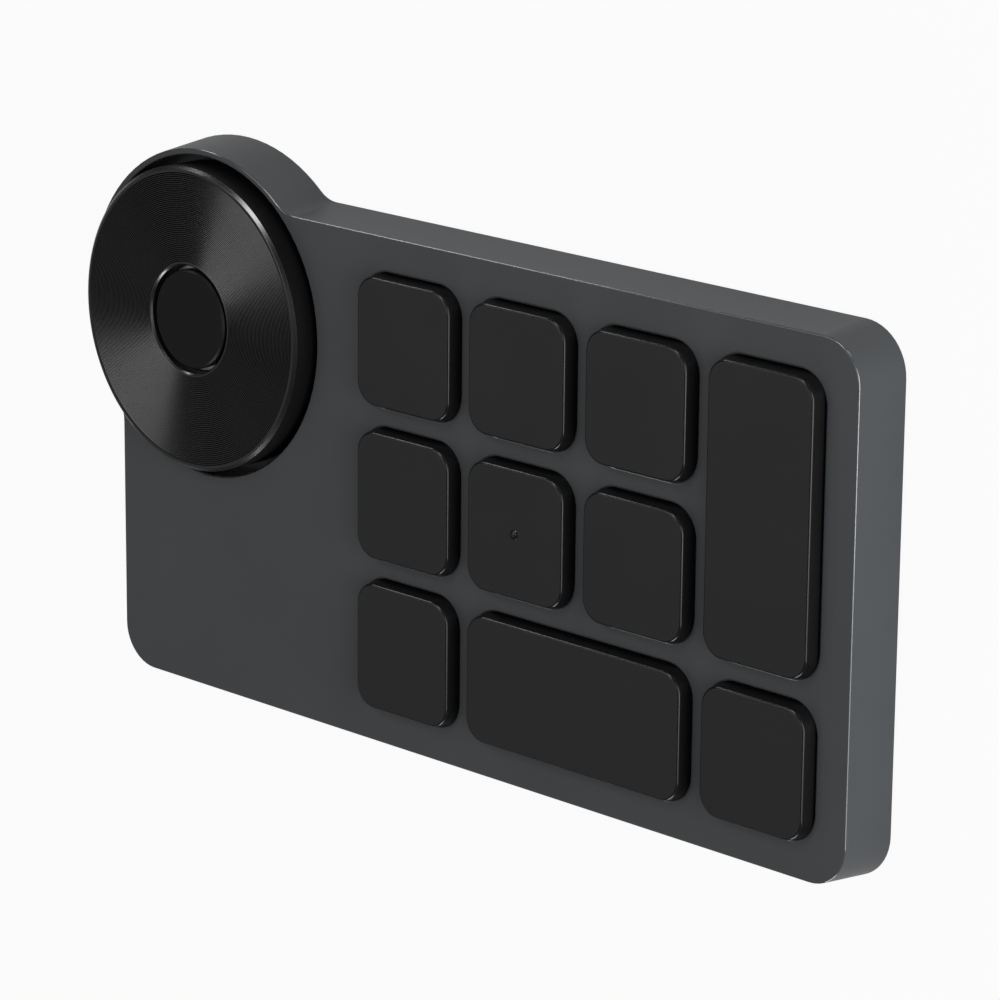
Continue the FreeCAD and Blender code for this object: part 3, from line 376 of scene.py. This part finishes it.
def key_section():
    """Distance outwards from the wall and height of a key's section, from its hollow's roof to its top."""
    inside = -KEY_SKIRT_WALL - KEY_GROW
    flange = KEY_FLANGE_OUT - KEY_GROW
    section = [
        (inside, KEY_TOP_Z - KEY_TOP_WALL),
        (inside, KEY_LOW_Z),
        (flange, KEY_LOW_Z),
        (flange, KEY_LOW_Z + KEY_FLANGE_THICK),
        (0, KEY_LOW_Z + KEY_FLANGE_THICK),
        (0, KEY_TOP_Z - KEY_WALL_HIGH),
    ]
    for step in range(EDGE_STEPS + 1):
        turn = step / EDGE_STEPS * math.pi / 2
        out = KEY_WALL_LEAN + KEY_EDGE_ROUND * (1 - math.cos(turn))
        section.append((-out, KEY_TOP_Z - KEY_EDGE_ROUND * (1 - math.sin(turn))))
    section.append((-KEY_WALL_LEAN - KEY_EDGE_ROUND - KEY_FLAT_RIM, KEY_TOP_Z))
    return section


def cells(middle, half, pitch):
    """Places of a key's stems along one direction, one for each pitch that the key spans."""
    count = round(2 * half / pitch)
    return [middle + (number - (count - 1) / 2) * pitch for number in range(count)]


def add_nib(bm, x, y):
    """Low round nib on the key's top."""
    ball = (NIB_R ** 2 + NIB_HIGH ** 2) / (2 * NIB_HIGH)
    reach = math.asin(NIB_R / ball)
    loops = []
    for step in range(EDGE_STEPS):
        turn = reach * (1 - step / EDGE_STEPS)
        radius = ball * math.sin(turn)
        z = KEY_TOP_Z + NIB_HIGH - ball * (1 - math.cos(turn))
        loops.append(rounded_loop(bm, (x, y), (radius, radius), radius, z))
    bridge(bm, loops)


def key_span(key):
    """Middle of a key and half its length and width at the wall, in millimetres."""
    low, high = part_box("keycap_" + key)
    middle = ((low.x + high.x) / 2 / MM, (low.y + high.y) / 2 / MM)
    grow = KEY_GROW - KEY_FLANGE_OUT
    return middle, ((high.x - low.x) / 2 / MM + grow, (high.y - low.y) / 2 / MM + grow)


def key_cells(key):
    """Middles of a key's stems."""
    middle, half = key_span(key)
    columns = cells(middle[0], half[0], KEY_PITCH_X)
    rows = cells(middle[1], half[1], KEY_PITCH_Y)
    return [(x, y) for x in columns for y in rows]


def make_key(key):
    """A key that replaces its solid: cap, skirt with its holding flange, stems and pushers."""
    middle, half = key_span(key)
    bm = bmesh.new()
    loops = []
    for out, z in key_section():
        corner = KEY_CORNER_R + KEY_CORNER_SHARE * out
        loops.append(rounded_loop(bm, middle, (half[0] + out, half[1] + out), corner, z))
    bridge(bm, loops)
    roof = KEY_TOP_Z - KEY_TOP_WALL
    stem = (KEY_STEM_R, KEY_STEM_BORE_R, KEY_STEM_LOW_Z)
    pusher = (KEY_PUSHER_R, KEY_PUSHER_BORE_R, DOME_TOP_Z)
    for x, y in key_cells(key):
        for outer, bore, tip in (stem, pusher):
            section = [(bore, tip), (outer, tip), (outer, roof), (bore, roof)]
            add_turned(bm, section, STEM_STEPS, x * MM, y * MM)
    if key == NIB_KEY:
        add_nib(bm, middle[0], middle[1])
    cap = piece("key_" + key + "_soft_edge", bm, LOOKS["key_plastic"], "key_" + key)
    sharpen(cap, SHARP)
    # Painted shade: the key's rounded edge and its walls get darker copies of its plastic, chosen by how
    # steeply each face leans
    give_walls(cap, KEY_RIM_STEEP, LOOKS["key_rim_painted_shade"])
    give_walls(cap, KEY_WALL_STEEP, LOOKS["walls_painted_shade"])
    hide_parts("keycap_" + key)


# Domes under the keys

DOME_LOW_Z = 3.4
DOME_TOP_Z = 5.9
DOME_R = 2.7
DOME_TOP_R = 1.5
DOME_WALL = 0.4
DOME_FOOT_HIGH = 0.4
DOME_SOFT = 0.15
DOME_VENT_R = 0.3


def make_dome(key):
    """Rubber domes of a key, shown at rest."""
    inside = DOME_R - DOME_WALL
    section = [
        (inside, DOME_LOW_Z),
        (DOME_R, DOME_LOW_Z),
        (DOME_R, DOME_LOW_Z + DOME_FOOT_HIGH),
        (DOME_TOP_R, DOME_TOP_Z - DOME_FOOT_HIGH),
        (DOME_TOP_R, DOME_TOP_Z - DOME_SOFT),
        (DOME_TOP_R - DOME_SOFT, DOME_TOP_Z),
        (DOME_VENT_R, DOME_TOP_Z),
        (DOME_VENT_R, DOME_TOP_Z - 2 * DOME_WALL),
        (DOME_TOP_R - DOME_WALL, DOME_TOP_Z - 2 * DOME_WALL),
        (inside, DOME_LOW_Z + DOME_FOOT_HIGH),
    ]
    bm = bmesh.new()
    for x, y in key_cells(key):
        add_turned(bm, section, STEM_STEPS, x * MM, y * MM)
    dome = piece("dome_" + key + "_soft", bm, LOOKS["dome_rubber"], "case")
    sharpen(dome, SHARP)
    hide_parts("dome_" + key)
    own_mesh(dome)


for name in list(nodes.keys()):
    if name.startswith("keycap_"):
        key_name = name.removeprefix("keycap_")
        make_key(key_name)
        make_dome(key_name)

# Screws of the cover, with a cross recess in each head

SCREW_HEAD_R = 1.5
SCREW_HEAD_THICK = 0.6
SCREW_R = 0.7
SCREW_EDGE = 0.12
CROSS_LONG = 0.85
CROSS_WIDE = 0.16
CROSS_DEEP = 0.4
CROSS_FLOOR_SHARE = 0.55
SCREW_STEPS = 48
SCREW_SPIN = 0.7
SCREWS_APART = 4 * SCREW_HEAD_R


def spots(obj, apart):
    """Middles in plan of a node's solids, which are smaller and further apart than the given distance."""
    groups = []
    for vertex in obj.data.vertices:
        flat = Vector((vertex.co.x, vertex.co.y))
        for group in groups:
            if (group[0] - flat).length < apart:
                group.append(flat)
                break
        else:
            groups.append([flat])
    middles = []
    for group in groups:
        xs = [point.x for point in group]
        ys = [point.y for point in group]
        middles.append(Vector(((min(xs) + max(xs)) / 2, (min(ys) + max(ys)) / 2)))
    return middles


def cross_radius(turn):
    """Distance from the middle to the outline of the cross recess."""
    along = max(abs(math.cos(turn)), abs(math.sin(turn)))
    across = min(abs(math.cos(turn)), abs(math.sin(turn)))
    if CROSS_LONG * across <= CROSS_WIDE * along:
        return CROSS_LONG / along
    return CROSS_WIDE / across


def screw_turns():
    """Angles round a screw, with the corners of its cross among them."""
    corner = math.atan2(CROSS_WIDE, CROSS_LONG)
    turns = [2 * math.pi * step / SCREW_STEPS for step in range(SCREW_STEPS)]
    for quarter in range(4):
        start = quarter * math.pi / 2
        turns += [start + corner, start + math.pi / 2 - corner]
    return sorted(turns)


def add_screw(bm, x, y, seat, tip, spin):
    """Screw with its head down, from the middle of the recess out and up to the tip."""
    face = seat - SCREW_HEAD_THICK * MM
    floor = face + CROSS_DEEP * MM
    turns = screw_turns()
    cross = [cross_radius(turn) * MM for turn in turns]
    rings = [
        ([r * CROSS_FLOOR_SHARE for r in cross], floor),
        (cross, face),
        ([(SCREW_HEAD_R - SCREW_EDGE) * MM] * len(turns), face),
        ([SCREW_HEAD_R * MM] * len(turns), face + SCREW_EDGE * MM),
        ([SCREW_HEAD_R * MM] * len(turns), seat),
        ([SCREW_R * MM] * len(turns), seat),
        ([SCREW_R * MM] * len(turns), tip - SCREW_R * MM),
        ([SCREW_EDGE * MM] * len(turns), tip),
    ]
    loops = []
    for radii, z in rings:
        loop = []
        for turn, radius in zip(turns, radii):
            spot = (x + radius * math.cos(turn + spin), y + radius * math.sin(turn + spin), z)
            loop.append(bm.verts.new(spot))
        loops.append(loop)
    bridge(bm, loops)


def make_screws():
    """The cover's screws as one piece, each turned further than the last, as left by hand."""
    low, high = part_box("cover_screws")
    seat = low.z + SCREW_HEAD_THICK * MM
    bm = bmesh.new()
    for number, spot in enumerate(spots(nodes["cover_screws"], SCREWS_APART * MM)):
        add_screw(bm, spot.x, spot.y, seat, high.z, SCREW_SPIN * number)
    screws = piece("cover_screws_crossed", bm, LOOKS["steel"], "case")
    sharpen(screws, SHARP)
    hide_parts("cover_screws")


make_screws()

# Contacts of the socket, six pads on each face of the tongue

CONTACTS = 6
CONTACT_PITCH = 1.0
CONTACT_WIDE = 0.42
CONTACT_LONG = 3.2
CONTACT_THICK = 0.03
CONTACT_FROM_TIP = 0.5
CONTACT_SECTION = ((0.0, 0.0), (0.5, 0.0), (1.0, 1.0))
CONTACT_END_STEPS = 6
TONGUE_THICK = 0.7


def bar_loop(bm, x_low, x_high, y, z, wide):
    """Points of a bar along X with round ends, at one height."""
    radius = wide / 2
    loop = []
    for x, start in ((x_high - radius, -math.pi / 2), (x_low + radius, math.pi / 2)):
        for step in range(CONTACT_END_STEPS + 1):
            turn = start + math.pi * step / CONTACT_END_STEPS
            loop.append(bm.verts.new((x + radius * math.cos(turn), y + radius * math.sin(turn), z)))
    return loop


def make_contacts():
    """Gold pads that stand a little proud of the tongue, with a slimmer top.

    CONTACT_SECTION holds the height and the loss of width, as shares of the pad's thickness.
    """
    low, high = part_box("usb_tongue")
    middle_y = (low.y + high.y) / 2
    middle_z = (low.z + high.z) / 2
    x_low = low.x + CONTACT_FROM_TIP * MM
    bm = bmesh.new()
    for side in (-1, 1):
        face = middle_z + side * TONGUE_THICK / 2 * MM
        for number in range(CONTACTS):
            y = middle_y + (number - (CONTACTS - 1) / 2) * CONTACT_PITCH * MM
            loops = []
            for out, slim in CONTACT_SECTION:
                wide = (CONTACT_WIDE - slim * CONTACT_THICK) * MM
                z = face + side * out * CONTACT_THICK * MM
                loops.append(bar_loop(bm, x_low, x_low + CONTACT_LONG * MM, y, z, wide))
            bridge(bm, loops)
    contacts = piece("socket_contacts", bm, LOOKS["contact_gold"], "case")
    sharpen(contacts, SHARP)


make_contacts()

# Knob of the power switch, with grip ribs

KNOB_RIBS = 5
KNOB_RIB_DEEP = 0.16
KNOB_EDGE = 0.3
KNOB_LONG = 3.0
KNOB_TONGUE_LONG = 1.4
KNOB_TONGUE_HIGH = 0.7
KNOB_TONGUE_IN = 1.25
KNOB_RIB_SHAPE = ((0.1, 0), (0.45, 0), (0.6, 1), (0.95, 1))
KNOB_SOFT = 0.05


def add_prism(bm, outline, z_low, z_high):
    """Upright prism on an outline of points in plan."""
    bridge(bm, [[bm.verts.new((x, y, z)) for x, y in outline] for z in (z_low, z_high)])


def make_knob():
    """The power knob with grooves between the ribs of its outer face, and its tongue."""
    low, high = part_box("power_slider")
    middle = (low.x + high.x) / 2
    half = KNOB_LONG / 2 * MM
    edge = KNOB_EDGE * MM
    inner = high.y - KNOB_TONGUE_IN * MM
    outline = [(middle + half, inner), (middle - half, inner), (middle - half, low.y + edge)]
    pitch = 2 * (half - edge) / KNOB_RIBS
    for number in range(KNOB_RIBS):
        start = middle - half + edge + number * pitch
        for share, deep in KNOB_RIB_SHAPE:
            outline.append((start + share * pitch, low.y + deep * KNOB_RIB_DEEP * MM))
    outline.append((middle + half, low.y + edge))
    bm = bmesh.new()
    add_prism(bm, outline, low.z, high.z)
    half = KNOB_TONGUE_LONG / 2 * MM
    tall = KNOB_TONGUE_HIGH / 2 * MM
    z = (low.z + high.z) / 2
    left = middle - half
    right = middle + half
    outline = [(left, inner), (right, inner), (right, high.y), (left, high.y)]
    add_prism(bm, outline, z - tall, z + tall)
    knob = piece("power_knob_ribbed", bm, LOOKS["key_plastic"], "power_knob", smooth=False)
    soften = knob.modifiers.new("soften", "BEVEL")
    soften.width = KNOB_SOFT * MM
    soften.segments = 2
    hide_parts("power_slider")


make_knob()

# Camera, at values fitted to the photograph

CAMERA_TARGET = Vector((0.00603, -0.00113, 0.0045))
CAMERA_DISTANCE = 0.5594
CAMERA_TURN = 22.222
CAMERA_TILT = 43.952
CAMERA_ROLL = -105.290
CAMERA_LENS = 165.76
CAMERA_SENSOR = 36.0
CAMERA_NEAR = 0.01
CAMERA_FAR = 50


def direction(turn, tilt):
    """Unit vector at an angle about Z from +X and an angle above the floor, in degrees."""
    turn = math.radians(turn)
    tilt = math.radians(tilt)
    return Vector((math.cos(turn) * math.cos(tilt), math.sin(turn) * math.cos(tilt), math.sin(tilt)))


def make_camera():
    """Camera at the photograph's viewing angle, rolled so that the pad's back edge is up."""
    data = bpy.data.cameras.new("camera")
    data.lens = CAMERA_LENS
    data.sensor_width = CAMERA_SENSOR
    data.clip_start = CAMERA_NEAR
    data.clip_end = CAMERA_FAR
    camera = bpy.data.objects.new("camera", data)
    bpy.context.scene.collection.objects.link(camera)
    back = direction(CAMERA_TURN, CAMERA_TILT)
    level = Vector((0, 0, 1)).cross(back).normalized()
    right = Matrix.Rotation(math.radians(CAMERA_ROLL), 3, back) @ level
    turn = Matrix((right, back.cross(right), back)).transposed().to_4x4()
    camera.matrix_world = Matrix.Translation(CAMERA_TARGET + CAMERA_DISTANCE * back) @ turn
    return camera


bpy.context.scene.camera = make_camera()

# Floor

FLOOR_SIZE = 4.0
FLOOR_COLOR = (0.5, 0.5, 0.5, 1)
WHITE = (1, 1, 1, 1)
FLOOR_SEEN_SHARE = 0.94
FLOOR_MIRRORED_SHARE = 0.1


def floor_material():
    """Pale floor that keeps the object's shadow, with a share of plain white where it is seen or mirrored."""
    mat = bpy.data.materials.new("floor")
    mat.use_nodes = True
    tree = mat.node_tree
    tree.nodes.clear()
    out = tree.nodes.new("ShaderNodeOutputMaterial")
    plain = tree.nodes.new("ShaderNodeBsdfDiffuse")
    plain.inputs["Color"].default_value = FLOOR_COLOR
    white = tree.nodes.new("ShaderNodeEmission")
    white.inputs["Color"].default_value = WHITE
    white.inputs["Strength"].default_value = 1.0
    path = tree.nodes.new("ShaderNodeLightPath")
    mirrored = tree.nodes.new("ShaderNodeMath")
    mirrored.operation = "MAXIMUM"
    link(tree, path, "Is Glossy Ray", mirrored, 0)
    link(tree, path, "Is Transmission Ray", mirrored, 1)
    part = tree.nodes.new("ShaderNodeMath")
    part.operation = "MULTIPLY"
    link(tree, mirrored, "Value", part, 0)
    part.inputs[1].default_value = FLOOR_MIRRORED_SHARE
    seen = tree.nodes.new("ShaderNodeMath")
    seen.operation = "MULTIPLY_ADD"
    link(tree, path, "Is Camera Ray", seen, 0)
    seen.inputs[1].default_value = FLOOR_SEEN_SHARE
    link(tree, part, "Value", seen, 2)
    mix = tree.nodes.new("ShaderNodeMixShader")
    link(tree, seen, "Value", mix, 0)
    link(tree, plain, "BSDF", mix, 1)
    link(tree, white, "Emission", mix, 2)
    link(tree, mix, "Shader", out, "Surface")
    return mat


def make_floor():
    """Plain square floor under the object."""
    bm = bmesh.new()
    bmesh.ops.create_grid(bm, x_segments=1, y_segments=1, size=FLOOR_SIZE)
    mesh = bpy.data.meshes.new("floor")
    bm.to_mesh(mesh)
    bm.free()
    floor = bpy.data.objects.new("floor", mesh)
    bpy.context.scene.collection.objects.link(floor)
    mesh.materials.append(floor_material())
    return floor


make_floor()

# World

WORLD_PLAIN = 0.08


def make_world():
    """White where the camera sees it, and a dim even light for the object."""
    made = bpy.data.worlds.new("studio")
    made.use_nodes = True
    tree = made.node_tree
    back = tree.nodes["Background"]
    path = tree.nodes.new("ShaderNodeLightPath")
    strength = tree.nodes.new("ShaderNodeMapRange")
    strength.inputs["To Min"].default_value = WORLD_PLAIN
    strength.inputs["To Max"].default_value = 1.0
    link(tree, path, "Is Camera Ray", strength, "Value")
    link(tree, strength, "Result", back, "Strength")
    back.inputs["Color"].default_value = WHITE
    return made


bpy.context.scene.world = make_world()

# Lamps: each row holds angle about Z, angle above the floor, power and size

LAMP_DISTANCE = 0.9


def softbox(name, turn, tilt, power, size):
    """Square area lamp that faces the object, at angles in degrees about Z and above the floor."""
    data = bpy.data.lights.new(name, "AREA")
    data.shape = "SQUARE"
    data.size = size
    data.energy = power
    lamp = bpy.data.objects.new(name, data)
    bpy.context.scene.collection.objects.link(lamp)
    toward = direction(turn, tilt)
    lamp.location = toward * LAMP_DISTANCE
    lamp.rotation_mode = "QUATERNION"
    lamp.rotation_quaternion = (-toward).to_track_quat("-Z", "Y")


# The dial's two bright fans mirror overhead, and its bevel and the keys' corners mirror back_high
softbox("overhead", 158, 63, 1.15, 0.4)
softbox("back_high", 101, 51, 1.5, 0.22)
# The strips give the thin bright line along the face's back edge
softbox("back_strip_low", 134, 12, 0.55, 0.14)
softbox("back_strip_high", 141, 30, 0.5, 0.14)
softbox("back_low", 62, 8, 1.2, 0.2)
# The flat face and the key tops mirror far_left towards the camera
softbox("far_left", 202, 44, 0.3, 0.8)
softbox("front", 270, 12, 3.6, 0.4)
softbox("top", 22, 82, 0.6, 0.3)
softbox("right", 0, 20, 9.0, 0.9)
softbox("right_low", 0, 8, 5.4, 0.5)

bpy.context.scene.view_settings.view_transform = "Standard"
